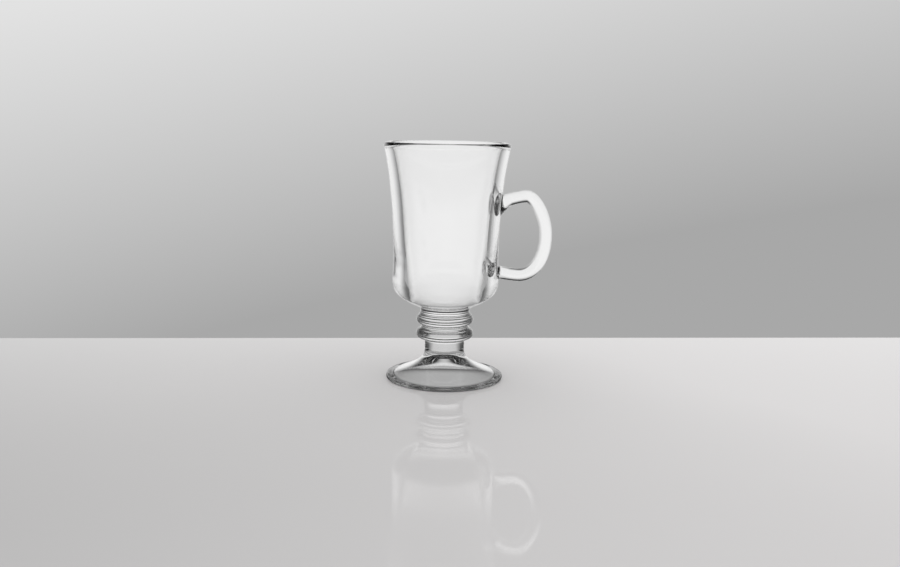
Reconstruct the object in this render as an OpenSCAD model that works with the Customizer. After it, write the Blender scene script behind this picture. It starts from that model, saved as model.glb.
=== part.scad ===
// Irish coffee mug in clear pressed glass: a flared, thick-walled bowl, a stem
// with two rings, a hollow foot and an ear handle fused to the bowl's wall.
// Millimetres, +Z up. The origin is on the bowl's axis, in the plane that the
// foot rests on. The handle points along +X.

/* [Foot] */
// Diameter over the rounded edge of the foot
foot_d = 71.6; // [62:0.2:84]
// Height of the foot, from the table to the joint with the stem
foot_h = 18; // [17:0.5:26]
// Radius at the edge, where it turns under
edge_round = 1.4; // [0.8:0.1:2]
// Width of the flat ring that the foot stands on
rest_w = 3.4; // [2:0.2:6]
// Width of the rolled lip around the edge
lip_w = 5.8; // [4.4:0.2:8]
// Height of the lip at its inner end
lip_h = 4.2; // [3.6:0.1:6]
// Slope of the foot's upper face, in degrees
foot_slope = 23; // [18:1:28]
// Height of the flare that runs from the foot into the neck
flare_h = 7.5; // [4:0.5:10]
// Height of the hollow under the foot, on the axis
hollow_h = 14.6; // [13:0.2:15.4]
// Slope of the hollow's shallow outer part, in degrees
dish_slope = 20; // [16:0.5:23]
// Radius of the hollow's nose where its side is steepest
nose_r = 6.4; // [5.4:0.2:8]

/* [Stem] */
// Diameter of the neck under the rings
neck_d = 24.2; // [19:0.1:27]
// Length of the plain neck
neck_h = 5.5; // [2:0.1:14]
// Diameter over the two rings
ring_d = 35.1; // [32:0.1:40]
// Radius of a ring's rounded edge
ring_round = 3; // [2.6:0.1:3.8]
// Distance between the two rings
ring_pitch = 8.9; // [8.2:0.1:14]
// Height from the top of the neck to the middle of the lower ring
ring_lift = 4.6; // [4:0.1:8]
// Diameter at the bottom of the groove between the rings
groove_d = 28.8; // [26:0.1:31]
// Diameter of the collar where the bowl joins the stem
collar_d = 30.3; // [27:0.1:32]
// Height from the middle of the upper ring to the bowl
collar_h = 5; // [4:0.1:8]

/* [Bowl] */
// Height of the bowl, from the stem to the top of the rim
bowl_h = 102.5; // [92:0.5:130]
// Diameter over the rim
rim_d = 76.4; // [70:0.2:88]
// Radius of the rounded rim
rim_round = 2.3; // [1.6:0.1:2.4]
// Diameter at the waist, below the flare
waist_d = 63.8; // [58:0.2:70]
// Height of the waist above the stem
waist_h = 33; // [28:0.5:42]
// Diameter at the widest place near the base
belly_d = 64.6; // [60:0.2:70]
// Height of that widest place above the stem
belly_h = 18.6; // [17:0.1:24]
// Slope of the bowl's underside, in degrees
under_slope = 24.3; // [20:0.1:28]
// Radius between the underside and the collar
base_round = 3.8; // [2:0.1:5]
// Thickness of the rim
rim_wall = 5.65; // [4.8:0.05:7]
// Thickness of the wall at the waist
waist_wall = 7.4; // [5.5:0.1:9]
// Thickness of the wall at the top of the round that runs into the inside floor
base_wall = 9.4; // [8:0.1:11.5]
// Thickness of the inside floor above the stem
floor_t = 4.5; // [3:0.1:8]
// Height of that round above the inside floor
corner_h = 10.8; // [8:0.1:13]
// Radius of the flat middle of the inside floor
floor_r = 3.7; // [1:0.1:8]

/* [Handle] */
// Thickness of the handle, from finger gap to outside
handle_t = 7.5; // [6:0.1:10]
// Width of the handle, across the finger gap
handle_w = 10.5; // [8:0.1:14]
// Squareness of the handle's section: 2 is an oval, more has flatter faces
handle_square = 2.5; // [2:0.5:8]
// Clear finger gap between the wall's waist and the handle
finger_gap = 24.8; // [20:0.1:32]
// Height of the upper run's middle above the stem, at its crest
crest_h = 70.9; // [66:0.1:80]
// Height above the stem at which the handle reaches out furthest
reach_h = 47; // [42:0.1:52]
// Height of the lower run's middle above the stem, at its lowest
heel_h = 22.9; // [19:0.1:28]
// Width of the upper bend
crest_w = 12.4; // [9:0.1:16]
// Width of the lower bend
heel_w = 15.9; // [12:0.1:18]
// Height that the upper run climbs from the wall to its crest
crest_rise = 4; // [1:0.1:6]
// Height that the lower run drops from the wall
heel_drop = 1.8; // [0:0.1:4]
// Length of the tail that runs down the wall under the upper weld
tail_l = 4.6; // [2:0.1:8]
// Length of the flare at each weld
root_l = 6; // [3:0.1:8]
// Extra width that each weld spreads to on either side
root_spread = 1.5; // [0.5:0.1:3]

/* [Hidden] */
$fn = 96;
curve_steps = 12;
bend_steps = 16;
run_steps = 8;
glass = [0.84, 0.88, 0.89, 0.55];

// Levels of the joints and rings
stem_z = foot_h;
neck_top_z = stem_z + neck_h;
ring_low_z = neck_top_z + ring_lift;
ring_high_z = ring_low_z + ring_pitch;
bowl_z = ring_high_z + collar_h;
rim_z = bowl_z + bowl_h;

// Radii from the diameters above
foot_r = foot_d / 2;
neck_r = neck_d / 2;
ring_mid_r = ring_d / 2 - ring_round;
groove_r = groove_d / 2;
collar_r = collar_d / 2;
rim_r = rim_d / 2;
waist_r = waist_d / 2;
belly_r = belly_d / 2;

// How far the curves hold their end directions, in mm
lip_pull = 3.4;
edge_pull = 1.6;
cone_pull = 9.5;
nose_top_pull = 2.8;
nose_side_pull = 2.4;
nose_pull = 4.5;
dish_pull = 13;
under_pull = 10.5;
shoulder_pull = 8;
belly_pull = 4.5;
waist_pull = 23;
rim_pull = 18;
mouth_pull = 30;
throat_pull = 17.4;
taper_pull = 5.6;
base_pull = 3.7;
corner_pull = 6.3;
floor_pull = 7.9;
crest_pull = 5.3;
reach_up_pull = 12;
reach_down_pull = 14.5;
heel_pull = 9;
run_pull = 4;

// Step inside the resting ring, where the hollow starts
step_w = 0.6;
step_h = 0.5;
// Drop from the hollow's top to the steepest place of its nose, and the slope
// there in degrees
nose_drop = 2.6;
nose_slope = 43;
// Lean of the wall under the rim, and of the bore at the mouth, in degrees
rim_lean = 12.2;
mouth_lean = 12.8;
// Angle below level at which the wall runs into the rounded rim
rim_turn = 36.6;
// Lean of the bore at the waist and at the top of its round, in degrees
taper_lean = 6;
base_lean = 13.1;
// How far the handle's ends reach into the wall before they are cut to it
root_sink = 2.5;
// How sharply the flare at a weld fades along the handle
root_fade = 1.3;
// Sides of the handle's section
handle_sides = 32;

// A unit vector at an angle to the +X direction
function unit(a) = [cos(a), sin(a)];

// Points on an arc about c, from angle a0 to a1
function arc(c, r, a0, a1) =
    [for (i = [0 : curve_steps]) c + r * unit(a0 + (a1 - a0) * i / curve_steps)];

// Points on a smooth curve from p0 to p3, drawn towards p1 and p2
function curve(p0, p1, p2, p3, steps = curve_steps) =
    [for (i = [0 : steps])
        let (t = i / steps, s = 1 - t)
        s * s * s * p0 + 3 * s * s * t * p1 + 3 * s * t * t * p2 + t * t * t * p3];

// Points without those that repeat the one before
function tidy(p) = [for (i = [0 : len(p) - 1]) if (i == 0 || norm(p[i] - p[i - 1]) > 0.001) p[i]];

// Radius of the hollow fillet that touches a ring and bottoms out at radius
// bottom_r, a height h away from the ring's middle
function fillet_r(bottom_r, h) =
    let (k = bottom_r - ring_mid_r)
    (k * k + h * h - ring_round * ring_round) / (2 * (ring_round - k));

// Angle on a ring where that fillet touches it
function fillet_a(bottom_r, h) = atan2(h, bottom_r + fillet_r(bottom_r, h) - ring_mid_r);

// Outline of the foot: hollow, resting ring, edge, lip, cone and flare
rest_r = foot_r - edge_round;
hollow_r = rest_r - rest_w;
lip_end = [foot_r - lip_w, lip_h];
slope_in = unit(180 - foot_slope);
dish_in = unit(180 - dish_slope);
dish_edge = [hollow_r - step_w, step_h];
nose_side = [nose_r, hollow_h - nose_drop];
nose_down = unit(-nose_slope);
foot_outline = tidy(concat(
    curve([0, hollow_h], [nose_top_pull, hollow_h], nose_side - nose_side_pull * nose_down, nose_side),
    curve(nose_side, nose_side + nose_pull * nose_down, dish_edge + dish_pull * dish_in, dish_edge),
    [[hollow_r, 0]],
    arc([rest_r, edge_round], edge_round, -90, 0),
    curve([foot_r, edge_round], [foot_r, edge_round + edge_pull], lip_end - lip_pull * slope_in, lip_end),
    curve(lip_end, lip_end + cone_pull * slope_in, [neck_r, foot_h - flare_h], [neck_r, foot_h]),
    [[0, foot_h]]));

// Outline of the stem: neck, lower ring, groove, upper ring and collar
groove_z = ring_low_z + ring_pitch / 2;
neck_fillet = fillet_r(neck_r, ring_lift);
neck_a = fillet_a(neck_r, ring_lift);
groove_fillet = fillet_r(groove_r, ring_pitch / 2);
groove_a = fillet_a(groove_r, ring_pitch / 2);
collar_fillet = fillet_r(collar_r, collar_h);
collar_a = fillet_a(collar_r, collar_h);
stem_outline = tidy(concat(
    [[0, stem_z], [neck_r, stem_z]],
    arc([neck_r + neck_fillet, neck_top_z], neck_fillet, 180, 180 - neck_a),
    arc([ring_mid_r, ring_low_z], ring_round, -neck_a, groove_a),
    arc([groove_r + groove_fillet, groove_z], groove_fillet, 180 + groove_a, 180 - groove_a),
    arc([ring_mid_r, ring_high_z], ring_round, -groove_a, collar_a),
    arc([collar_r + collar_fillet, bowl_z], collar_fillet, 180 + collar_a, 180),
    [[0, bowl_z]]));

// Outside of the bowl: underside, belly, waist, flare and rim
rim_mid = [rim_r - rim_round, rim_z - rim_round];
under_start = [collar_r + base_round, bowl_z] + base_round * unit(90 + under_slope);
belly = [belly_r, bowl_z + belly_h];
waist = [waist_r, bowl_z + waist_h];
rim_foot = rim_mid + rim_round * unit(-rim_turn);
bowl_wall = tidy(concat(
    arc([collar_r + base_round, bowl_z], base_round, 180, 90 + under_slope),
    curve(under_start, under_start + under_pull * unit(under_slope), belly - [0, shoulder_pull], belly),
    curve(belly, belly + [0, belly_pull], waist - [0, belly_pull], waist),
    curve(waist, waist + [0, waist_pull], rim_foot - rim_pull * unit(90 - rim_lean), rim_foot)));

// Inside of the bowl, from the mouth down to the floor
mouth = [rim_r - rim_wall, rim_z - rim_round];
bore_waist = waist - [waist_wall, 0];
floor_z = bowl_z + floor_t;
bore_base = [belly_r - base_wall, floor_z + corner_h];
floor_edge = [floor_r, floor_z];
mouth_up = unit(90 - mouth_lean);
taper_up = unit(90 - taper_lean);
base_up = unit(90 - base_lean);
bore_wall = tidy(concat(
    curve(mouth, mouth - mouth_pull * mouth_up, bore_waist + throat_pull * taper_up, bore_waist),
    curve(bore_waist, bore_waist - taper_pull * taper_up, bore_base + base_pull * base_up, bore_base),
    curve(bore_base, bore_base - corner_pull * base_up, floor_edge + [floor_pull, 0], floor_edge),
    [[0, floor_z]]));

// The rim rolls over from the outside to the inside of the wall
rim_roll = concat(
    arc(rim_mid, rim_round, -rim_turn, 90),
    arc([mouth[0] + rim_round, rim_mid[1]], rim_round, 90, 180));
bowl_outline = tidy(concat([[0, bowl_z]], bowl_wall, rim_roll, bore_wall));

// The outside of the wall as a table from height to radius
wall_table = [for (p = bowl_wall) [p[1], p[0]]];
function wall_r(z) = lookup(z, wall_table);

// Middle line of the handle in the XZ plane, from the upper weld to the lower
reach_x = waist_r + finger_gap + handle_t / 2;
crest = [reach_x - crest_w, bowl_z + crest_h];
reach = [reach_x, bowl_z + reach_h];
heel = [reach_x - heel_w, bowl_z + heel_h];
root_high_z = crest[1] - crest_rise;
root_low_z = heel[1] + heel_drop;
root_high = [wall_r(root_high_z) - root_sink, root_high_z];
root_low = [wall_r(root_low_z) - root_sink, root_low_z];
climb_a = atan2(crest_rise, crest[0] - root_high[0]);
drop_a = atan2(heel_drop, heel[0] - root_low[0]);
handle_line = tidy(concat(
    curve(root_high, root_high + run_pull * unit(climb_a), crest - [run_pull, 0], crest, run_steps),
    curve(crest, crest + [crest_pull, 0], reach + [0, reach_up_pull], reach, bend_steps),
    curve(reach, reach - [0, reach_down_pull], heel + [heel_pull, 0], heel, bend_steps),
    curve(heel, heel - [run_pull, 0], root_low + run_pull * unit(-drop_a), root_low, run_steps)));

// Share of a weld's flare at a point: 1 at the wall, 0 where the flare ends
function root_share(p) = pow(max(0, 1 - max(0, p[0] - wall_r(p[1])) / root_l), root_fade);

// A point of the handle's section, at an angle round it
function section(a) =
    unit(a) / pow(pow(abs(cos(a)), handle_square) + pow(abs(sin(a)), handle_square), 1 / handle_square);

// One ring of the handle's section about point i of its line
function handle_ring(i) =
    let (
        p = handle_line[i],
        ahead = handle_line[min(i + 1, len(handle_line) - 1)],
        back = handle_line[max(i - 1, 0)],
        along = (ahead - back) / norm(ahead - back),
        out = [-along[1], along[0]],
        tail = p[1] > reach[1] ? tail_l : 0)
    [for (j = [0 : handle_sides - 1])
        let (
            u = section(360 * j / handle_sides),
            q = p + out * u[0] * handle_t / 2,
            share = root_share(q),
            half_w = handle_w / 2 + root_spread * share)
        [q[0], half_w * u[1], q[1] + min(0, u[0]) * tail * share]];

// The handle's rod, with both ends buried in the wall
module handle_rod() {
    rings = len(handle_line);
    last = (rings - 1) * handle_sides;
    side = [for (i = [0 : rings - 2], j = [0 : handle_sides - 1])
        let (
            a = i * handle_sides + j,
            b = i * handle_sides + (j + 1) % handle_sides)
        each [[a, b, b + handle_sides], [a, b + handle_sides, a + handle_sides]]];
    cap_high = [for (j = [1 : handle_sides - 2]) [0, j + 1, j]];
    cap_low = [for (j = [1 : handle_sides - 2]) [last, last + j, last + j + 1]];
    polyhedron(
        points = [for (i = [0 : rings - 1]) each handle_ring(i)],
        faces = concat(side, cap_high, cap_low));
}

// The bowl's outside as a filled body, which the handle is cut to
module bowl_body() {
    rotate_extrude() polygon(concat([[0, bowl_z]], bowl_wall, [[0, rim_foot[1]]]));
}

module bowl() {
    color(glass) rotate_extrude() polygon(bowl_outline);
}

module handle() {
    color(glass) difference() {
        handle_rod();
        bowl_body();
    }
}

module stem() {
    color(glass) rotate_extrude() polygon(stem_outline);
}

module foot() {
    color(glass) rotate_extrude() polygon(foot_outline);
}

bowl();
handle();
stem();
foot();
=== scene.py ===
# Irish coffee mug in clear pressed glass: bowl, stem, foot and handle, fused to each other.
import math

import bpy
from mathutils import Matrix, Vector
from mathutils.geometry import delaunay_2d_cdt


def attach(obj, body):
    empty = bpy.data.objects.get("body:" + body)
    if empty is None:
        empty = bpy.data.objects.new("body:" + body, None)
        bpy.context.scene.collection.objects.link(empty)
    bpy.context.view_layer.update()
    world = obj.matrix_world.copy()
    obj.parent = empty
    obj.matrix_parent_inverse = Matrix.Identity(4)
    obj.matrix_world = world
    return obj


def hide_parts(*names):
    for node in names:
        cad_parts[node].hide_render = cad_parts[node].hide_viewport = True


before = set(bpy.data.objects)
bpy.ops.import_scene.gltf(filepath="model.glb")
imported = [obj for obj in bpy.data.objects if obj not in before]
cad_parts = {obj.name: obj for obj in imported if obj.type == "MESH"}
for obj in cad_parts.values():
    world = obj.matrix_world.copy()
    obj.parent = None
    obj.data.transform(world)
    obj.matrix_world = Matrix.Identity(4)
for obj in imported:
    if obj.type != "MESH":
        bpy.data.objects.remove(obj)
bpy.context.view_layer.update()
print("frame loaded:", ", ".join(sorted(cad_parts)))

mm = 0.001  # outlines are worked out in millimetres, meshes are built in metres
latheSides = 240  # faces round the axis of a turned piece
samePoint = 0.004  # mm, points of an outline that lie closer than this are one
onAxis = 0.001  # mm, a ring with a smaller radius is one point on the axis
glassSlot, jointSlot = 0, 1  # material slots of every piece
colourA, colourB, colourOut = 6, 7, 2  # sockets of a Mix node that mixes colours


# small tools

def hexToLinear(hexText):
    channels = [int(hexText[i:i + 2], 16) / 255 for i in (1, 3, 5)]
    return [c / 12.92 if c <= 0.04045 else ((c + 0.055) / 1.055) ** 2.4 for c in channels] + [1.0]


def addNode(tree, kind, settings=None, links=None):
    # settings go to an input of that name or number, or else to the node itself
    node = tree.nodes.new(kind)
    for key, value in (settings or {}).items():
        if isinstance(key, int) or key in node.inputs:
            node.inputs[key].default_value = value
        else:
            setattr(node, key, value)
    for key, socket in (links or {}).items():
        tree.links.new(socket, node.inputs[key])
    return node


def unit(degrees):
    # direction at that angle
    return Vector((math.cos(math.radians(degrees)), math.sin(math.radians(degrees))))


def straight(start, end, steps):
    return [start + (end - start) * (i / steps) for i in range(steps + 1)]


def arc(centre, radius, start, end, steps):
    return [centre + radius * unit(start + (end - start) * i / steps) for i in range(steps + 1)]


def curve(p0, p1, p2, p3, steps):
    # cubic curve from p0 to p3, pulled towards p1 and p2
    points = []
    for i in range(steps + 1):
        t = i / steps
        s = 1 - t
        points.append(s ** 3 * p0 + 3 * s * s * t * p1 + 3 * s * t * t * p2 + t ** 3 * p3)
    return points


def trimEnd(line, reach):
    # the line without its last stretch of that length
    line = list(line)
    while len(line) > 2 and (line[-1] - line[-2]).length <= reach:
        reach -= (line[-1] - line[-2]).length
        line.pop()
    step = line[-1] - line[-2]
    line[-1] = line[-1] - step * (reach / step.length)
    return line


def joinSoft(first, second, reach, steps=8):
    # two lines that meet at a corner, joined by a small round
    corner = first[-1]
    first = trimEnd(first, reach)
    second = trimEnd(second[::-1], reach)[::-1]
    a, b = first[-1], second[0]
    middle = []
    for i in range(1, steps):
        t = i / steps
        middle.append((1 - t) ** 2 * a + 2 * t * (1 - t) * corner + t * t * b)
    return first + middle + second


def tidyLine(line):
    # the line without points that repeat the one before
    kept = [line[0]]
    for point in line[1:]:
        if (point - kept[-1]).length > samePoint:
            kept.append(point)
    return kept


def lineNormals(line, startNormal=None, endNormal=None):
    # outward normals of an outline that runs with its glass on the left
    normals = []
    for i in range(len(line)):
        a = line[max(i - 1, 0)]
        b = line[min(i + 1, len(line) - 1)]
        before = (line[i] - a).length or 1.0
        after = (b - line[i]).length or 1.0
        along = (line[i] - a) / before * after + (b - line[i]) / after * before
        normals.append(Vector((along.y, -along.x)).normalized())
    if startNormal:
        normals[0] = Vector(startNormal)
    if endNormal:
        normals[-1] = Vector(endNormal)
    return normals


class Shell:
    # points, smooth normals, faces and slots of one closed piece, in millimetres
    def __init__(self):
        self.points = []
        self.normals = []
        self.faces = []
        self.slots = []

    def addPoint(self, point, normal):
        self.points.append(Vector(point))
        self.normals.append(Vector(normal))
        return len(self.points) - 1

    def addFace(self, corners, slot=glassSlot):
        self.faces.append(tuple(corners))
        self.slots.append(slot)

    def addRing(self, radius, z, normal):
        # points round the axis, or the one point on it
        if radius < onAxis:
            return [self.addPoint((0, 0, z), (0, 0, normal.y))]
        ring = []
        for k in range(latheSides):
            u = unit(360 * k / latheSides)
            point = (radius * u.x, radius * u.y, z)
            ring.append(self.addPoint(point, (normal.x * u.x, normal.x * u.y, normal.y)))
        return ring

    def addTurned(self, line, normals, skip=None):
        # rings along an outline and the faces between them, but for the faces that skip names
        rings = [self.addRing(p.x, p.y, n) for p, n in zip(line, normals)]
        for row, (low, high) in enumerate(zip(rings, rings[1:])):
            for k in range(latheSides):
                n = (k + 1) % latheSides
                if skip and skip(row, k):
                    continue
                if len(low) == 1:
                    self.addFace((low[0], high[n], high[k]))
                elif len(high) == 1:
                    self.addFace((low[k], low[n], high[0]))
                else:
                    self.addFace((low[k], low[n], high[n], high[k]))
        return rings

    def addJoint(self, ring, z, up):
        # flat face where two pieces are fused, a fan about the axis
        middle = self.addPoint((0, 0, z), (0, 0, 1 if up else -1))
        for k in range(latheSides):
            n = (k + 1) % latheSides
            self.addFace((middle, ring[k], ring[n]) if up else (middle, ring[n], ring[k]), jointSlot)

    def dropLoose(self):
        # leaves out the points that no face uses
        used = sorted({i for face in self.faces for i in face})
        order = {old: new for new, old in enumerate(used)}
        self.points = [self.points[i] for i in used]
        self.normals = [self.normals[i] for i in used]
        self.faces = [tuple(order[i] for i in face) for face in self.faces]

    def build(self, name, materials):
        mesh = bpy.data.meshes.new(name)
        mesh.from_pydata([p * mm for p in self.points], [], self.faces)
        for material in materials:
            mesh.materials.append(material)
        mesh.polygons.foreach_set("material_index", self.slots)
        mesh.polygons.foreach_set("use_smooth", [True] * len(self.faces))
        mesh.update()
        loopNormals = []
        for polygon in mesh.polygons:
            joint = polygon.material_index == jointSlot
            for vertex in polygon.vertices:
                loopNormals.append(polygon.normal if joint else self.normals[vertex].normalized())
        mesh.normals_split_custom_set(loopNormals)
        piece = bpy.data.objects.new(name, mesh)
        bpy.context.scene.collection.objects.link(piece)
        return piece


# camera at the photograph's viewing angle

cameraSet = {
    "distance": 600.0,  # mm in front of the bowl's axis
    "height": 162.5,  # mm above the table
    "pitch": 9.81,  # degrees down
    "yaw": 0.268,  # degrees to the right
    "roll": 0.95,  # degrees
    "focalPixels": 994.0,
    "frameWidth": 900.0,  # pixels
    "sensor": 36.0,  # mm
    "clipStart": 10.0,  # mm
}


def makeCamera():
    data = bpy.data.cameras.new("photoCamera")
    data.sensor_width = cameraSet["sensor"]
    data.lens = cameraSet["focalPixels"] / cameraSet["frameWidth"] * cameraSet["sensor"]
    data.clip_start = cameraSet["clipStart"] * mm
    camera = bpy.data.objects.new("photoCamera", data)
    turn = Matrix.Rotation(math.radians(-cameraSet["yaw"]), 3, "Z")
    tilt = Matrix.Rotation(math.radians(90 - cameraSet["pitch"]), 3, "X")
    roll = Matrix.Rotation(math.radians(cameraSet["roll"]), 3, "Z")
    camera.rotation_euler = (turn @ tilt @ roll).to_euler()
    camera.location = (0, -cameraSet["distance"] * mm, cameraSet["height"] * mm)
    bpy.context.scene.collection.objects.link(camera)
    bpy.context.scene.camera = camera


makeCamera()
bpy.context.scene.view_settings.view_transform = "Standard"
# a ray crosses many faces of glass before it leaves the mug
bpy.context.scene.cycles.max_bounces = 32
bpy.context.scene.cycles.transmission_bounces = 32
bpy.context.scene.cycles.glossy_bounces = 16
bpy.context.scene.cycles.transparent_max_bounces = 64
print("camera set")


# table, backdrop and studio light

studio = {
    "tableShadedNear": "#cac9c9",  # painted shade: the board's colour at the near left, darker as if less lit
    "tableLitFar": "#eae8e8",  # painted light: its colour at the far right, lighter as if more lit
    "tableLean": (0.8, 0.6),  # x and y of the direction from the one to the other
    "tableFade": (-280.0, 120.0),  # mm along that direction, where the change starts and ends
    "tableBack": 107.0,  # mm from the bowl's axis to the table's far edge
    "tableReach": 1500.0,  # mm to its other edges
    "tableDrop": 0.02,  # mm under the foot, so that the two faces stay apart
    "tableTurn": 4.1,  # degrees, so that the far edge lies level in the tilted picture
    "tableRough": 0.04,
    "backdropLow": "#a8a8a8",
    "backdropHigh": "#e2e2e2",
    "backdropLean": (-0.22, 0.98),  # x and z of the direction from the one to the other
    "backdropFade": (-0.16, 0.17),  # of the view direction along it, where the change starts and ends
    "fill": 1.0,  # plain light on the table
    # light that the glass shows: degrees from straight behind it, level
    "panel": [(0, 0.91), (24, 0.9), (30, 0.8), (36, 0.66), (42, 0.48), (49, 0.29), (56, 0.17), (70, 0.08),
              (95, 0.02), (180, 0.01)],
    "panelTop": (6.0, 25.0),  # degrees up, where the panel fades into the ceiling
    "ceiling": 0.01,
    # room below the table's edge, in the same way
    "roomBelow": [(0, 0.91), (24, 0.9), (36, 0.66), (49, 0.29), (58, 0.15), (70, 0.13), (89, 0.55),
                  (180, 0.58)],
    "roomFrom": (5.0, 0.0),  # degrees up, where the panel fades into that
    # painted light: glow of the table near the mug for rays from the glass, in the same way, dark at the
    # sides as if in shade
    "tablePaintedGlow": [(0, 0.63), (20, 0.59), (28, 0.33), (38, 0.09), (60, 0.04), (180, 0.03)],
    # painted light: glow of the table further out, in the same way
    "tablePaintedGlowFar": [(0, 0.7), (20, 0.66), (28, 0.58), (38, 0.46), (50, 0.36), (64, 0.34), (80, 0.46),
                  (180, 0.52)],
    "openFrom": (80.0, 130.0),  # mm from the axis, where the one fades into the other
    "footPaintedShadow": (0.46, 0.12),  # painted shadow: glow of the table under the foot, in front and behind, darker behind as if the foot shades it
    "footFade": (0.0, 28.0),  # mm behind the axis, from the one to the other
    "footReach": (28.5, 33.0),  # mm from the axis, where that ends
}


def turnShare(tree, x, y):
    # how far the direction x, y is turned from straight behind the mug, as a share of half a turn
    angle = addNode(tree, "ShaderNodeMath", {"operation": "ARCTAN2"}, {0: x, 1: y})
    away = addNode(tree, "ShaderNodeMath", {"operation": "ABSOLUTE"}, {0: angle.outputs[0]})
    share = addNode(tree, "ShaderNodeMath", {"operation": "DIVIDE", 1: math.pi}, {0: away.outputs[0]})
    return share.outputs[0]


def turnLevel(tree, share, levels):
    # level of the light at that turn, from a list of degrees and levels
    ramp = addNode(tree, "ShaderNodeValToRGB", links={0: share})
    stops = ramp.color_ramp.elements
    for i, (degrees, level) in enumerate(levels):
        stop = stops[i] if i < 2 else stops.new(degrees / 180)  # a new ramp has two stops
        stop.position = degrees / 180
        stop.color = (level, level, level, 1)
    return ramp.outputs["Color"]


def paintedTableGlow(tree, place):
    # painted light and shadow: the glow the table gives to rays from the glass, under the foot, near the
    # mug and further out
    split = addNode(tree, "ShaderNodeSeparateXYZ", links={0: place})
    turn = turnShare(tree, split.outputs[0], split.outputs[1])
    gap = addNode(tree, "ShaderNodeVectorMath", {"operation": "LENGTH"}, {0: place})
    # painted shadow under the foot: its glow fades from the front level to the darker one behind the axis
    front, behind = studio["footPaintedShadow"]
    start, end = (d * mm for d in studio["footFade"])
    under = addNode(tree, "ShaderNodeMapRange", {
        "interpolation_type": "SMOOTHSTEP", "From Min": start, "From Max": end,
        "To Min": front, "To Max": behind}, {"Value": split.outputs[1]})
    start, end = (d * mm for d in studio["footReach"])
    away = addNode(tree, "ShaderNodeMapRange", {
        "interpolation_type": "SMOOTHSTEP", "From Min": start, "From Max": end},
        {"Value": gap.outputs["Value"]})
    near = addNode(tree, "ShaderNodeMix", {"data_type": "RGBA"}, {
        0: away.outputs[0], colourA: under.outputs[0],
        colourB: turnLevel(tree, turn, studio["tablePaintedGlow"])})
    start, end = (d * mm for d in studio["openFrom"])
    outer = addNode(tree, "ShaderNodeMapRange", {
        "interpolation_type": "SMOOTHSTEP", "From Min": start, "From Max": end},
        {"Value": gap.outputs["Value"]})
    shown = addNode(tree, "ShaderNodeMix", {"data_type": "RGBA"}, {
        0: outer.outputs[0], colourA: near.outputs[colourOut],
        colourB: turnLevel(tree, turn, studio["tablePaintedGlowFar"])})
    return shown.outputs[colourOut]


def makeBoard():
    # lacquered board, polished: pale and nearly smooth, so it mirrors the mug faintly; its colour carries
    # a painted light falloff, and to rays from the glass it glows with painted light and shadow instead
    # of being lit
    material = bpy.data.materials.new("polished lacquered board with painted light")
    material.use_nodes = True
    tree = material.node_tree
    board = tree.nodes["Principled BSDF"]
    board.inputs["Roughness"].default_value = studio["tableRough"]
    place = addNode(tree, "ShaderNodeTexCoord").outputs["Object"]
    # painted light falloff: the board's colour runs from darker at the near left to lighter at the far
    # right
    leanX, leanY = studio["tableLean"]
    across = addNode(tree, "ShaderNodeVectorMath", {
        "operation": "DOT_PRODUCT", 1: (leanX, leanY, 0)}, {0: place})
    start, end = (d * mm for d in studio["tableFade"])
    share = addNode(tree, "ShaderNodeMapRange", {"From Min": start, "From Max": end},
                    {"Value": across.outputs["Value"]})
    shade = addNode(tree, "ShaderNodeMix", {
        "data_type": "RGBA", colourA: hexToLinear(studio["tableShadedNear"]),
        colourB: hexToLinear(studio["tableLitFar"])}, {0: share.outputs[0]})
    tree.links.new(shade.outputs[colourOut], board.inputs["Base Color"])
    # painted light: rays reflected or refracted by the glass see this glow instead of the lit board
    seen = addNode(tree, "ShaderNodeEmission", {"Strength": 1.0}, {"Color": paintedTableGlow(tree, place)})
    path = addNode(tree, "ShaderNodeLightPath")
    byGlass = addNode(tree, "ShaderNodeMath", {"operation": "MAXIMUM"},
                      {0: path.outputs["Is Transmission Ray"], 1: path.outputs["Is Glossy Ray"]})
    mixed = addNode(tree, "ShaderNodeMixShader", links={
        0: byGlass.outputs[0], 1: board.outputs[0], 2: seen.outputs[0]})
    tree.links.new(mixed.outputs[0], tree.nodes["Material Output"].inputs["Surface"])
    return material


def makeTable():
    mesh = bpy.data.meshes.new("table")
    reach = studio["tableReach"]
    back = studio["tableBack"]
    rise = reach * math.tan(math.radians(studio["tableTurn"]))
    corners = [(-reach, -reach), (reach, -reach), (reach, back + rise), (-reach, back - rise)]
    z = -studio["tableDrop"]
    mesh.from_pydata([(x * mm, y * mm, z * mm) for x, y in corners], [], [(0, 1, 2, 3)])
    mesh.materials.append(makeBoard())
    table = bpy.data.objects.new("table", mesh)
    bpy.context.scene.collection.objects.link(table)


def roomLight(tree, place):
    # room as the glass shows it: a bright panel behind the mug, dark sides and ceiling
    split = addNode(tree, "ShaderNodeSeparateXYZ", links={0: place})
    turn = turnShare(tree, split.outputs[0], split.outputs[1])
    high, low = (math.sin(math.radians(a)) for a in studio["roomFrom"])
    down = addNode(tree, "ShaderNodeMapRange", {
        "interpolation_type": "SMOOTHSTEP", "From Min": low, "From Max": high,
        "To Min": 1.0, "To Max": 0.0}, {"Value": split.outputs[2]})
    wall = addNode(tree, "ShaderNodeMix", {"data_type": "RGBA"}, {
        0: down.outputs[0], colourA: turnLevel(tree, turn, studio["panel"]),
        colourB: turnLevel(tree, turn, studio["roomBelow"])})
    low, high = (math.sin(math.radians(a)) for a in studio["panelTop"])
    up = addNode(tree, "ShaderNodeMapRange", {
        "interpolation_type": "SMOOTHSTEP", "From Min": low, "From Max": high},
        {"Value": split.outputs[2]})
    dark = studio["ceiling"]
    shown = addNode(tree, "ShaderNodeMix", {"data_type": "RGBA", colourB: (dark, dark, dark, 1)},
                    {0: up.outputs[0], colourA: wall.outputs[colourOut]})
    return shown.outputs[colourOut]


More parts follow.
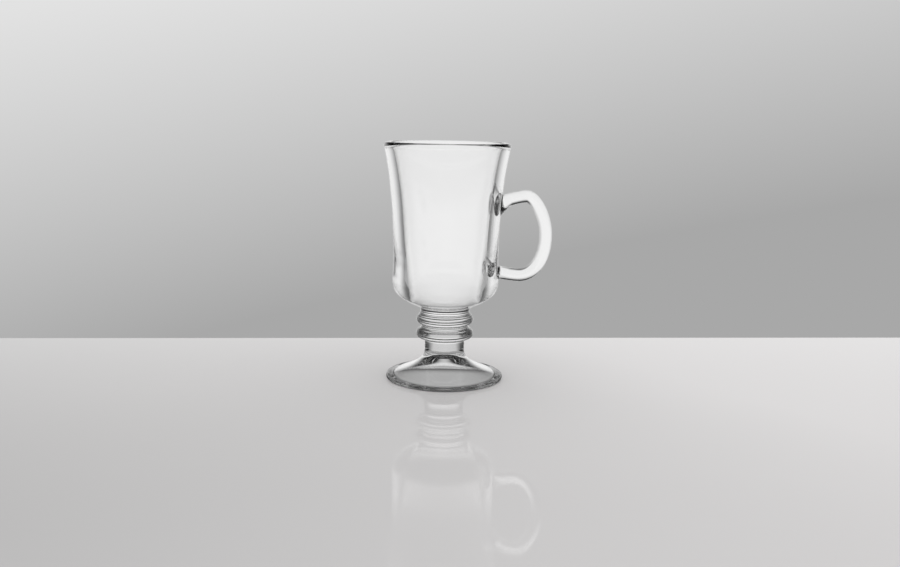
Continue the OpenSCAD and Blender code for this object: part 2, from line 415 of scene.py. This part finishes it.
def makeWorld():
    world = bpy.data.worlds.new("studio")
    bpy.context.scene.world = world
    world.use_nodes = True
    tree = world.node_tree
    tree.nodes.clear()
    place = addNode(tree, "ShaderNodeTexCoord").outputs["Generated"]
    leanX, leanZ = studio["backdropLean"]
    across = addNode(tree, "ShaderNodeVectorMath", {
        "operation": "DOT_PRODUCT", 1: (leanX, 0, leanZ)}, {0: place})
    start, end = studio["backdropFade"]
    share = addNode(tree, "ShaderNodeMapRange", {"From Min": start, "From Max": end},
                    {"Value": across.outputs["Value"]})
    shade = addNode(tree, "ShaderNodeMix", {
        "data_type": "RGBA", colourA: hexToLinear(studio["backdropLow"]),
        colourB: hexToLinear(studio["backdropHigh"])}, {0: share.outputs[0]})
    fill = addNode(tree, "ShaderNodeBackground", {"Color": (1, 1, 1, 1), "Strength": studio["fill"]})
    backdrop = addNode(tree, "ShaderNodeBackground", {"Strength": 1.0},
                       {"Color": shade.outputs[colourOut]})
    lit = addNode(tree, "ShaderNodeBackground", {"Strength": 1.0}, {"Color": roomLight(tree, place)})
    path = addNode(tree, "ShaderNodeLightPath")
    byGlass = addNode(tree, "ShaderNodeMath", {"operation": "MAXIMUM"},
                      {0: path.outputs["Is Transmission Ray"], 1: path.outputs["Is Glossy Ray"]})
    unseen = addNode(tree, "ShaderNodeMixShader", links={
        0: byGlass.outputs[0], 1: fill.outputs[0], 2: lit.outputs[0]})
    mixed = addNode(tree, "ShaderNodeMixShader", links={
        0: path.outputs["Is Camera Ray"], 1: unseen.outputs[0], 2: backdrop.outputs[0]})
    addNode(tree, "ShaderNodeOutputWorld", links={"Surface": mixed.outputs[0]})


makeTable()
makeWorld()
print("stage and light set")


# materials

glassLook = {
    "tint": "#ffffff",
    "bend": 1.52,  # refractive index of soda-lime glass
    "rough": 0.0,  # fire-polished smooth
    "rippleWidth": 14.0,  # mm from crest to crest
    "rippleDepth": 0.03,  # mm, from the lowest to the highest
    "rippleDetail": 1.0,  # finer ripple on it, in octaves
}


def makeGlass():
    # pressed soda-lime glass, fire-polished: clear and colourless, with a faint ripple left by the mould
    material = bpy.data.materials.new("pressed soda-lime glass")
    material.use_nodes = True
    tree = material.node_tree
    shader = tree.nodes["Principled BSDF"]
    shader.inputs["Base Color"].default_value = hexToLinear(glassLook["tint"])
    shader.inputs["Transmission Weight"].default_value = 1.0
    shader.inputs["IOR"].default_value = glassLook["bend"]
    shader.inputs["Roughness"].default_value = glassLook["rough"]
    place = addNode(tree, "ShaderNodeTexCoord")
    ripple = addNode(tree, "ShaderNodeTexNoise", {
        "Scale": 1 / (glassLook["rippleWidth"] * mm), "Detail": glassLook["rippleDetail"]},
        {"Vector": place.outputs["Object"]})
    bump = addNode(tree, "ShaderNodeBump", {"Strength": 1.0, "Distance": glassLook["rippleDepth"] * mm},
                   {"Height": ripple.outputs[0]})
    tree.links.new(bump.outputs[0], shader.inputs["Normal"])
    return material


def makeFusedJoint():
    # inside of a fused joint: glass runs through it, so it shows nothing
    material = bpy.data.materials.new("fused glass joint")
    material.use_nodes = True
    tree = material.node_tree
    tree.nodes.clear()
    clear = addNode(tree, "ShaderNodeBsdfTransparent")
    addNode(tree, "ShaderNodeOutputMaterial", links={"Surface": clear.outputs[0]})
    return material


materials = [makeGlass(), makeFusedJoint()]  # in the order of the slots
print("materials made")


# foot: sizes in mm, slopes in degrees, a pull is how far a curve holds its direction at an end

foot = {
    "diameter": 71.6, "height": 18.0, "edgeRound": 1.4, "restWidth": 3.4,
    "lipWidth": 5.8, "lipHeight": 4.2, "slope": 23.0, "flareHeight": 7.5,
    "edgePull": 1.6, "lipPull": 3.4, "conePull": 9.5,
    # the hollow underneath: a step at the resting ring, a shallow dish, a steep round nose in the middle
    "stepWidth": 0.6, "stepHeight": 0.5, "dishSlope": 20.0, "dishPull": 13.0,
    "noseHeight": 14.6, "noseRadius": 6.4, "noseDrop": 2.6, "noseSlope": 43.0,
    "noseTopPull": 2.8, "noseSidePull": 2.4, "nosePull": 4.5,
    "cornerSoft": 0.4,  # of each line that the round at a corner takes up
    "noseSteps": 20, "dishSteps": 40, "flatSteps": 6, "edgeSteps": 12, "lipSteps": 20, "coneSteps": 48,
}


def makeFoot():
    footR = foot["diameter"] / 2
    neckR = stem["neckDiameter"] / 2
    restR = footR - foot["edgeRound"]
    hollowR = restR - foot["restWidth"]
    edgeTop = Vector((footR, foot["edgeRound"]))
    lipEnd = Vector((footR - foot["lipWidth"], foot["lipHeight"]))
    slopeIn = unit(180 - foot["slope"])
    hollowEdge = Vector((hollowR, 0))
    top = Vector((0, foot["noseHeight"]))
    side = Vector((foot["noseRadius"], foot["noseHeight"] - foot["noseDrop"]))
    down = unit(-foot["noseSlope"])
    dishEdge = hollowEdge + Vector((-foot["stepWidth"], foot["stepHeight"]))
    dishIn = unit(180 - foot["dishSlope"])
    hollow = curve(top, top + Vector((foot["noseTopPull"], 0)),
                   side - foot["noseSidePull"] * down, side, foot["noseSteps"])
    hollow += curve(side, side + foot["nosePull"] * down,
                    dishEdge + foot["dishPull"] * dishIn, dishEdge, foot["dishSteps"])
    step = straight(dishEdge, hollowEdge, foot["flatSteps"])
    rest = straight(hollowEdge, Vector((restR, 0)), foot["flatSteps"])
    line = joinSoft(joinSoft(hollow, step, foot["cornerSoft"]), rest, foot["cornerSoft"])
    line += arc(Vector((restR, foot["edgeRound"])), foot["edgeRound"], -90, 0, foot["edgeSteps"])
    line += curve(edgeTop, edgeTop + Vector((0, foot["edgePull"])),
                  lipEnd - foot["lipPull"] * slopeIn, lipEnd, foot["lipSteps"])
    line += curve(lipEnd, lipEnd + foot["conePull"] * slopeIn,
                  Vector((neckR, foot["height"] - foot["flareHeight"])),
                  Vector((neckR, foot["height"])), foot["coneSteps"])
    line = tidyLine(line)
    shell = Shell()
    rings = shell.addTurned(line, lineNormals(line, (0, -1), (1, 0)))
    shell.addJoint(rings[-1], foot["height"], True)
    return shell.build("glass_foot", materials)


# stem: sizes in mm, the lift is from the top of the neck to the middle of the lower ring

stem = {
    "neckDiameter": 24.2, "neckHeight": 5.5, "ringDiameter": 35.1, "ringRound": 3.0, "ringPitch": 8.9,
    "ringLift": 4.6, "grooveDiameter": 28.8, "collarDiameter": 30.3, "collarHeight": 5.0,
    "neckSteps": 8, "neckTopSteps": 16, "ringLowSteps": 40, "grooveSteps": 24, "ringHighSteps": 32,
    "collarSteps": 20,
}
stemZ = foot["height"]
neckTopZ = stemZ + stem["neckHeight"]
ringLowZ = neckTopZ + stem["ringLift"]
ringHighZ = ringLowZ + stem["ringPitch"]
bowlZ = ringHighZ + stem["collarHeight"]


def ringFillet(bottomR, rise):
    # radius and turn of the hollow round that leads from its smallest radius into a ring's edge
    ringR = stem["ringRound"]
    ringMid = stem["ringDiameter"] / 2 - ringR
    k = bottomR - ringMid
    radius = (k * k + rise * rise - ringR ** 2) / (2 * (ringR - k))
    return radius, math.degrees(math.atan2(rise, bottomR + radius - ringMid))


def makeStem():
    neckR = stem["neckDiameter"] / 2
    grooveR = stem["grooveDiameter"] / 2
    collarR = stem["collarDiameter"] / 2
    ringR = stem["ringRound"]
    ringMid = stem["ringDiameter"] / 2 - ringR
    halfPitch = stem["ringPitch"] / 2
    neckF, neckA = ringFillet(neckR, stem["ringLift"])
    grooveF, grooveA = ringFillet(grooveR, halfPitch)
    collarF, collarA = ringFillet(collarR, stem["collarHeight"])
    grooveMid = Vector((grooveR + grooveF, ringLowZ + halfPitch))
    line = straight(Vector((neckR, stemZ)), Vector((neckR, neckTopZ)), stem["neckSteps"])
    line += arc(Vector((neckR + neckF, neckTopZ)), neckF, 180, 180 - neckA, stem["neckTopSteps"])
    line += arc(Vector((ringMid, ringLowZ)), ringR, -neckA, grooveA, stem["ringLowSteps"])
    line += arc(grooveMid, grooveF, 180 + grooveA, 180 - grooveA, stem["grooveSteps"])
    line += arc(Vector((ringMid, ringHighZ)), ringR, -grooveA, collarA, stem["ringHighSteps"])
    line += arc(Vector((collarR + collarF, bowlZ)), collarF, 180 + collarA, 180, stem["collarSteps"])
    line = tidyLine(line)
    shell = Shell()
    rings = shell.addTurned(line, lineNormals(line, (1, 0), (1, 0)))
    shell.addJoint(rings[0], stemZ, False)
    shell.addJoint(rings[-1], bowlZ, True)
    return shell.build("glass_stem", materials)


# bowl: sizes in mm, heights above the stem, leans in degrees from upright

bowl = {
    "height": 102.5, "rimDiameter": 76.35, "rimRound": 2.3, "waistDiameter": 63.8, "waistHeight": 33.0,
    "bellyDiameter": 64.6, "bellyHeight": 18.6, "underSlope": 24.3, "baseRound": 3.8,
    "rimLean": 12.2, "underPull": 10.5, "shoulderPull": 8.0, "bellyPull": 4.5, "waistPull": 23.0,
    "rimPull": 18.0,
    "rimTurn": 36.6,  # degrees below level, where the rolled rim starts on the outside
    "rimSoft": 1.0,  # of each line that the round at the rim's two corners takes up
    # the inside, from the mouth down to the floor
    "rimWall": 5.65, "waistWall": 7.4, "baseWall": 9.4, "floorThick": 4.5, "cornerHeight": 10.8,
    "floorRadius": 3.7, "mouthLean": 12.8, "taperLean": 6.0, "baseLean": 13.1,
    "mouthPull": 30.0, "throatPull": 17.4, "taperPull": 5.6, "basePull": 3.7, "cornerPull": 6.3,
    "floorPull": 7.9,
    "baseSteps": 16, "underSteps": 40, "bellySteps": 16, "wallSteps": 72, "rimSteps": 20, "lipSteps": 16,
    "mouthSteps": 60, "taperSteps": 20, "cornerSteps": 32, "floorSteps": 12,
}
rimZ = bowlZ + bowl["height"]
waist = Vector((bowl["waistDiameter"] / 2, bowlZ + bowl["waistHeight"]))
rimMid = Vector((bowl["rimDiameter"] / 2 - bowl["rimRound"], rimZ - bowl["rimRound"]))
rimFoot = rimMid + bowl["rimRound"] * unit(-bowl["rimTurn"])


def outsideLine():
    collarR = stem["collarDiameter"] / 2
    baseMid = Vector((collarR + bowl["baseRound"], bowlZ))
    underStart = baseMid + bowl["baseRound"] * unit(90 + bowl["underSlope"])
    belly = Vector((bowl["bellyDiameter"] / 2, bowlZ + bowl["bellyHeight"]))
    bellyUp = Vector((0, bowl["bellyPull"]))
    line = arc(baseMid, bowl["baseRound"], 180, 90 + bowl["underSlope"], bowl["baseSteps"])
    line += curve(underStart, underStart + bowl["underPull"] * unit(bowl["underSlope"]),
                  belly - Vector((0, bowl["shoulderPull"])), belly, bowl["underSteps"])
    line += curve(belly, belly + bellyUp, waist - bellyUp, waist, bowl["bellySteps"])
    line += curve(waist, waist + Vector((0, bowl["waistPull"])),
                  rimFoot - bowl["rimPull"] * unit(90 - bowl["rimLean"]), rimFoot, bowl["wallSteps"])
    return tidyLine(line)


def insideLine():
    mouth = Vector((bowl["rimDiameter"] / 2 - bowl["rimWall"], rimMid.y))
    boreWaist = waist - Vector((bowl["waistWall"], 0))
    floorZ = bowlZ + bowl["floorThick"]
    boreBase = Vector((bowl["bellyDiameter"] / 2 - bowl["baseWall"], floorZ + bowl["cornerHeight"]))
    floorEdge = Vector((bowl["floorRadius"], floorZ))
    mouthUp = unit(90 - bowl["mouthLean"])
    taperUp = unit(90 - bowl["taperLean"])
    baseUp = unit(90 - bowl["baseLean"])
    line = curve(mouth, mouth - bowl["mouthPull"] * mouthUp,
                 boreWaist + bowl["throatPull"] * taperUp, boreWaist, bowl["mouthSteps"])
    line += curve(boreWaist, boreWaist - bowl["taperPull"] * taperUp,
                  boreBase + bowl["basePull"] * baseUp, boreBase, bowl["taperSteps"])
    line += curve(boreBase, boreBase - bowl["cornerPull"] * baseUp,
                  floorEdge + Vector((bowl["floorPull"], 0)), floorEdge, bowl["cornerSteps"])
    line += straight(floorEdge, Vector((0, floorZ)), bowl["floorSteps"])
    return tidyLine(line)


wallLine = outsideLine()
wallNormals = lineNormals(wallLine, (1, 0))


def wallAt(z):
    # radius and outward normal of the bowl's outside at a height on its wall
    low, high = 0, len(wallLine) - 1
    while high - low > 1:
        middle = (low + high) // 2
        if wallLine[middle].y <= z:
            low = middle
        else:
            high = middle
    t = (z - wallLine[low].y) / (wallLine[high].y - wallLine[low].y)
    radius = wallLine[low].x * (1 - t) + wallLine[high].x * t
    return radius, wallNormals[low] * (1 - t) + wallNormals[high] * t


# handle: sizes in mm, heights above the stem

handle = {
    "thick": 7.5, "width": 10.5, "fingerGap": 24.8,
    "crestHeight": 70.9, "reachHeight": 47.0, "heelHeight": 22.9,
    "crestWidth": 12.4, "heelWidth": 15.9, "crestRise": 4.0, "heelDrop": 1.8,
    "crestPull": 5.3, "reachUpPull": 12.0, "reachDownPull": 14.5, "heelPull": 9.0, "runPull": 4.0,
    "square": 2.5,  # 2 is an ellipse, more has flatter faces
    # the ends at the wall
    "tailLength": 4.6, "rootLength": 6.0, "rootSpread": 1.5,
    "rootSink": 2.5,  # of the rod's line into the wall
    "rootFade": 1.3,  # how fast the spread dies out along the root
    "sides": 64, "bendSteps": 36,
}
weld = {
    "fillet": 1.0,  # mm that the fused glass runs out on the wall and along the rod
    "filletSteps": 6,
    "rootSteps": 10,
    "clear": 2.4,  # mm from the wall to the first whole ring of the rod
    "unrollRadius": 32.0,  # mm, radius at which the wall is unrolled to lay out the welds
    "windowSides": 15,  # columns of the wall on either side of the welds that are laid out afresh
    "windowMargin": 6.0,  # mm above and below the welds
    "nearest": 0.55,  # mm kept clear of the weld's edge by the wall's own points
    "layoutGap": 0.00001,  # mm, points of the layout that lie closer than this are one
    "matchDigits": 3,  # decimals of a millimetre to which points of the two pieces match
}


def handleLine():
    # middle line of the rod, and the height at which it reaches out furthest
    reachX = waist.x + handle["fingerGap"] + handle["thick"] / 2
    crest = Vector((reachX - handle["crestWidth"], bowlZ + handle["crestHeight"]))
    reach = Vector((reachX, bowlZ + handle["reachHeight"]))
    heel = Vector((reachX - handle["heelWidth"], bowlZ + handle["heelHeight"]))
    highZ = crest.y - handle["crestRise"]
    lowZ = heel.y + handle["heelDrop"]
    rootHigh = Vector((wallAt(highZ)[0] - handle["rootSink"], highZ))
    rootLow = Vector((wallAt(lowZ)[0] - handle["rootSink"], lowZ))
    climb = (crest - rootHigh).normalized()
    drop = (heel - rootLow).normalized()
    run = handle["runPull"]
    steps = handle["bendSteps"]
    line = curve(rootHigh, rootHigh + run * climb, crest - Vector((run, 0)), crest, steps)
    line += curve(crest, crest + Vector((handle["crestPull"], 0)),
                  reach + Vector((0, handle["reachUpPull"])), reach, steps)
    line += curve(reach, reach - Vector((0, handle["reachDownPull"])),
                  heel + Vector((handle["heelPull"], 0)), heel, steps)
    line += curve(heel, heel - Vector((run, 0)), rootLow + run * drop, rootLow, steps)
    return tidyLine(line), reach.y


def rootShare(point):
    # 1 at the wall, 0 past the end of the root
    past = max(0.0, point.x - wallAt(point.y)[0])
    return max(0.0, 1 - past / handle["rootLength"]) ** handle["rootFade"]


def handleRing(line, i, reachZ):
    # the rod's section at a point of its line, spread near the wall
    p = line[i]
    along = (line[min(i + 1, len(line) - 1)] - line[max(i - 1, 0)]).normalized()
    out = Vector((-along.y, along.x))
    tail = handle["tailLength"] if p.y > reachZ else 0.0
    ring = []
    for j in range(handle["sides"]):
        u = unit(360 * j / handle["sides"])
        u /= (abs(u.x) ** handle["square"] + abs(u.y) ** handle["square"]) ** (1 / handle["square"])
        q = p + out * (u.x * handle["thick"] / 2)
        share = rootShare(q)
        half = handle["width"] / 2 + handle["rootSpread"] * share
        ring.append(Vector((q.x, half * u.y, q.y + min(0.0, u.x) * tail * share)))
    return ring


def wallPoint(along, z):
    # a point on the wall, a distance round it from the +X side, with its normal
    radius, normal = wallAt(z)
    u = unit(math.degrees(along / weld["unrollRadius"]))
    return Vector((radius * u.x, radius * u.y, z)), Vector((normal.x * u.x, normal.x * u.y, normal.y))


def gapToWall(point):
    return math.hypot(point.x, point.y) - wallAt(point.z)[0]


def alongLine(points, distance):
    # the point at that distance along a line
    for a, b in zip(points, points[1:]):
        step = (b - a).length
        if distance <= step:
            return a + (b - a) * (distance / step)
        distance -= step
    return points[-1]


def lengthOf(points):
    return sum((b - a).length for a, b in zip(points, points[1:]))


def rootRows(rings):
    # rows from the weld's edge on the wall to the first whole ring of the rod, and that edge unrolled
    sides = handle["sides"]
    whole = next(i for i, ring in enumerate(rings) if min(gapToWall(p) for p in ring) > weld["clear"])
    runs = []
    for j in range(sides):
        run = [ring[j] for ring in rings[:whole + 1]]
        first = next(i for i, p in enumerate(run) if gapToWall(p) > 0)
        a, b = run[first - 1], run[first]
        t = gapToWall(a) / (gapToWall(a) - gapToWall(b))
        runs.append([a + (b - a) * t] + run[first:])
    flat = []
    for run in runs:
        hit = run[0]
        flat.append(Vector((math.atan2(hit.y, hit.x) * weld["unrollRadius"], hit.z)))
    middle = sum(flat, Vector((0, 0))) / sides
    edge = []
    for j in range(sides):
        along = flat[(j + 1) % sides] - flat[j - 1]
        out = Vector((along.y, -along.x)).normalized()
        if out.dot(flat[j] - middle) < 0:
            out = -out
        edge.append(flat[j] + out * weld["fillet"])
    rows = []
    for k in range(weld["filletSteps"] + 1):
        t = k / weld["filletSteps"]
        row = []
        for j in range(sides):
            start = wallPoint(edge[j].x, edge[j].y)[0]
            end = alongLine(runs[j], weld["fillet"])
            row.append((1 - t) ** 2 * start + 2 * t * (1 - t) * runs[j][0] + t * t * end)
        rows.append(row)
    for k in range(1, weld["rootSteps"]):
        t = k / weld["rootSteps"]
        row = []
        for run in runs:
            rest = lengthOf(run) - weld["fillet"]
            row.append(alongLine(run, weld["fillet"] + rest * t))
        rows.append(row)
    return rows, edge, whole


rodLine, rodReachZ = handleLine()
rodRings = [handleRing(rodLine, i, rodReachZ) for i in range(len(rodLine))]
highRows, highEdge, highWhole = rootRows(rodRings)
lowRows, lowEdge, lowWhole = rootRows(rodRings[::-1])
handleRows = highRows + rodRings[highWhole:len(rodRings) - lowWhole] + lowRows[::-1]
weldEdges = [highEdge, lowEdge]
print("handle laid out:", len(handleRows), "rows")


def insideEdge(point, edge):
    # whether a point of the unrolled wall lies within a weld's edge
    inside = False
    for a, b in zip(edge, edge[1:] + edge[:1]):
        if (a.y > point.y) != (b.y > point.y):
            if point.x < a.x + (point.y - a.y) * (b.x - a.x) / (b.y - a.y):
                inside = not inside
    return inside


def fillWindow(shell, outline, rings, rowLow, rowHigh):
    # the wall round the welds: its own points, cut along the edges of the welds
    half = weld["windowSides"]
    columns = list(range(-half, half + 1))
    border = [(c, rowLow) for c in columns]
    border += [(half, r) for r in range(rowLow + 1, rowHigh + 1)]
    border += [(c, rowHigh) for c in reversed(columns[:-1])]
    border += [(-half, r) for r in range(rowHigh - 1, rowLow, -1)]
    step = 2 * math.pi / latheSides * weld["unrollRadius"]
    flat = [Vector((c * step, outline[r].y)) for c, r in border]
    known = [rings[r][c % latheSides] for c, r in border]
    links = [(i, (i + 1) % len(border)) for i in range(len(border))]
    for edge in weldEdges:
        first = len(flat)
        flat += edge
        known += [None] * len(edge)
        links += [(first + i, first + (i + 1) % len(edge)) for i in range(len(edge))]
    edgePoints = highEdge + lowEdge
    for r in range(rowLow + 1, rowHigh):
        for c in columns[1:-1]:
            point = Vector((c * step, outline[r].y))
            if min((point - q).length for q in edgePoints) > weld["nearest"]:
                flat.append(point)
                known.append(rings[r][c % latheSides])
    verts, _, faces, origins, _, _ = delaunay_2d_cdt(flat, links, [], 0, weld["layoutGap"], True)
    index = []
    for vert, origin in zip(verts, origins):
        if origin and known[origin[0]] is not None:
            index.append(known[origin[0]])
        else:
            index.append(shell.addPoint(*wallPoint(vert.x, vert.y)))
    patches = [[] for edge in weldEdges]
    for face in faces:
        a, b, c = (verts[i] for i in face)
        if (b - a).cross(c - a) < 0:
            face = face[::-1]
        middle = (a + b + c) / 3
        which = next((k for k, edge in enumerate(weldEdges) if insideEdge(middle, edge)), None)
        shell.addFace([index[i] for i in face], glassSlot if which is None else jointSlot)
        if which is not None:
            patches[which].append([shell.points[index[i]].copy() for i in face])
    return patches


def makeBowl():
    rim = arc(rimMid, bowl["rimRound"], -bowl["rimTurn"], 90, bowl["rimSteps"])
    lipMid = Vector((bowl["rimDiameter"] / 2 - bowl["rimWall"] + bowl["rimRound"], rimMid.y))
    roll = tidyLine(rim + arc(lipMid, bowl["rimRound"], 90, 180, bowl["lipSteps"]))
    outline = joinSoft(joinSoft(wallLine, roll, bowl["rimSoft"]), insideLine(), bowl["rimSoft"])
    outline = tidyLine(outline)
    weldZ = [p.y for edge in weldEdges for p in edge]
    topRow = max(range(len(outline)), key=lambda i: outline[i].y)
    rowLow = max(i for i in range(topRow) if outline[i].y < min(weldZ) - weld["windowMargin"])
    rowHigh = min(i for i in range(topRow) if outline[i].y > max(weldZ) + weld["windowMargin"])
    half = weld["windowSides"]

    def inWindow(row, side):
        return rowLow <= row < rowHigh and (side < half or side >= latheSides - half)

    shell = Shell()
    rings = shell.addTurned(outline, lineNormals(outline, (1, 0), (0, 1)), inWindow)
    shell.addJoint(rings[0], bowlZ, False)
    patches = fillWindow(shell, outline, rings, rowLow, rowHigh)
    shell.dropLoose()
    return shell.build("glass_bowl", materials), patches


def spot(point):
    # where a point is, rounded so that points of the bowl and the handle match
    return tuple(round(c, weld["matchDigits"]) for c in point)


def makeHandle(patches):
    sides = handle["sides"]
    shell = Shell()
    count = len(handleRows)
    for i, row in enumerate(handleRows):
        for j, p in enumerate(row):
            if i in (0, count - 1):
                edge = highEdge if i == 0 else lowEdge
                normal = wallPoint(edge[j].x, edge[j].y)[1]
            else:
                down = handleRows[i + 1][j] - handleRows[i - 1][j]
                around = row[(j + 1) % sides] - row[j - 1]
                normal = down.cross(around).normalized()
            shell.addPoint(p, normal)
    for i in range(count - 1):
        for j in range(sides):
            n = (j + 1) % sides
            shell.addFace((i * sides + j, (i + 1) * sides + j, (i + 1) * sides + n, i * sides + n))
    # the welds' faces are the bowl's own, turned round
    for patch, firstRow in zip(patches, (0, (count - 1) * sides)):
        found = {spot(shell.points[firstRow + j]): firstRow + j for j in range(sides)}
        for triangle in patch:
            corners = []
            for p in reversed(triangle):
                if spot(p) not in found:
                    found[spot(p)] = shell.addPoint(p, (1, 0, 0))
                corners.append(found[spot(p)])
            shell.addFace(corners, jointSlot)
    return shell.build("glass_handle", materials)


bowlPiece, weldPatches = makeBowl()
print("bowl built:", len(bowlPiece.data.polygons), "faces")
handlePiece = makeHandle(weldPatches)
print("handle built:", len(handlePiece.data.polygons), "faces")
stemPiece = makeStem()
footPiece = makeFoot()
print("stem and foot built")

for piece, node in ((bowlPiece, "bowl"), (handlePiece, "handle"),
                    (stemPiece, "stem"), (footPiece, "foot")):
    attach(piece, "root")
    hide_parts(node)
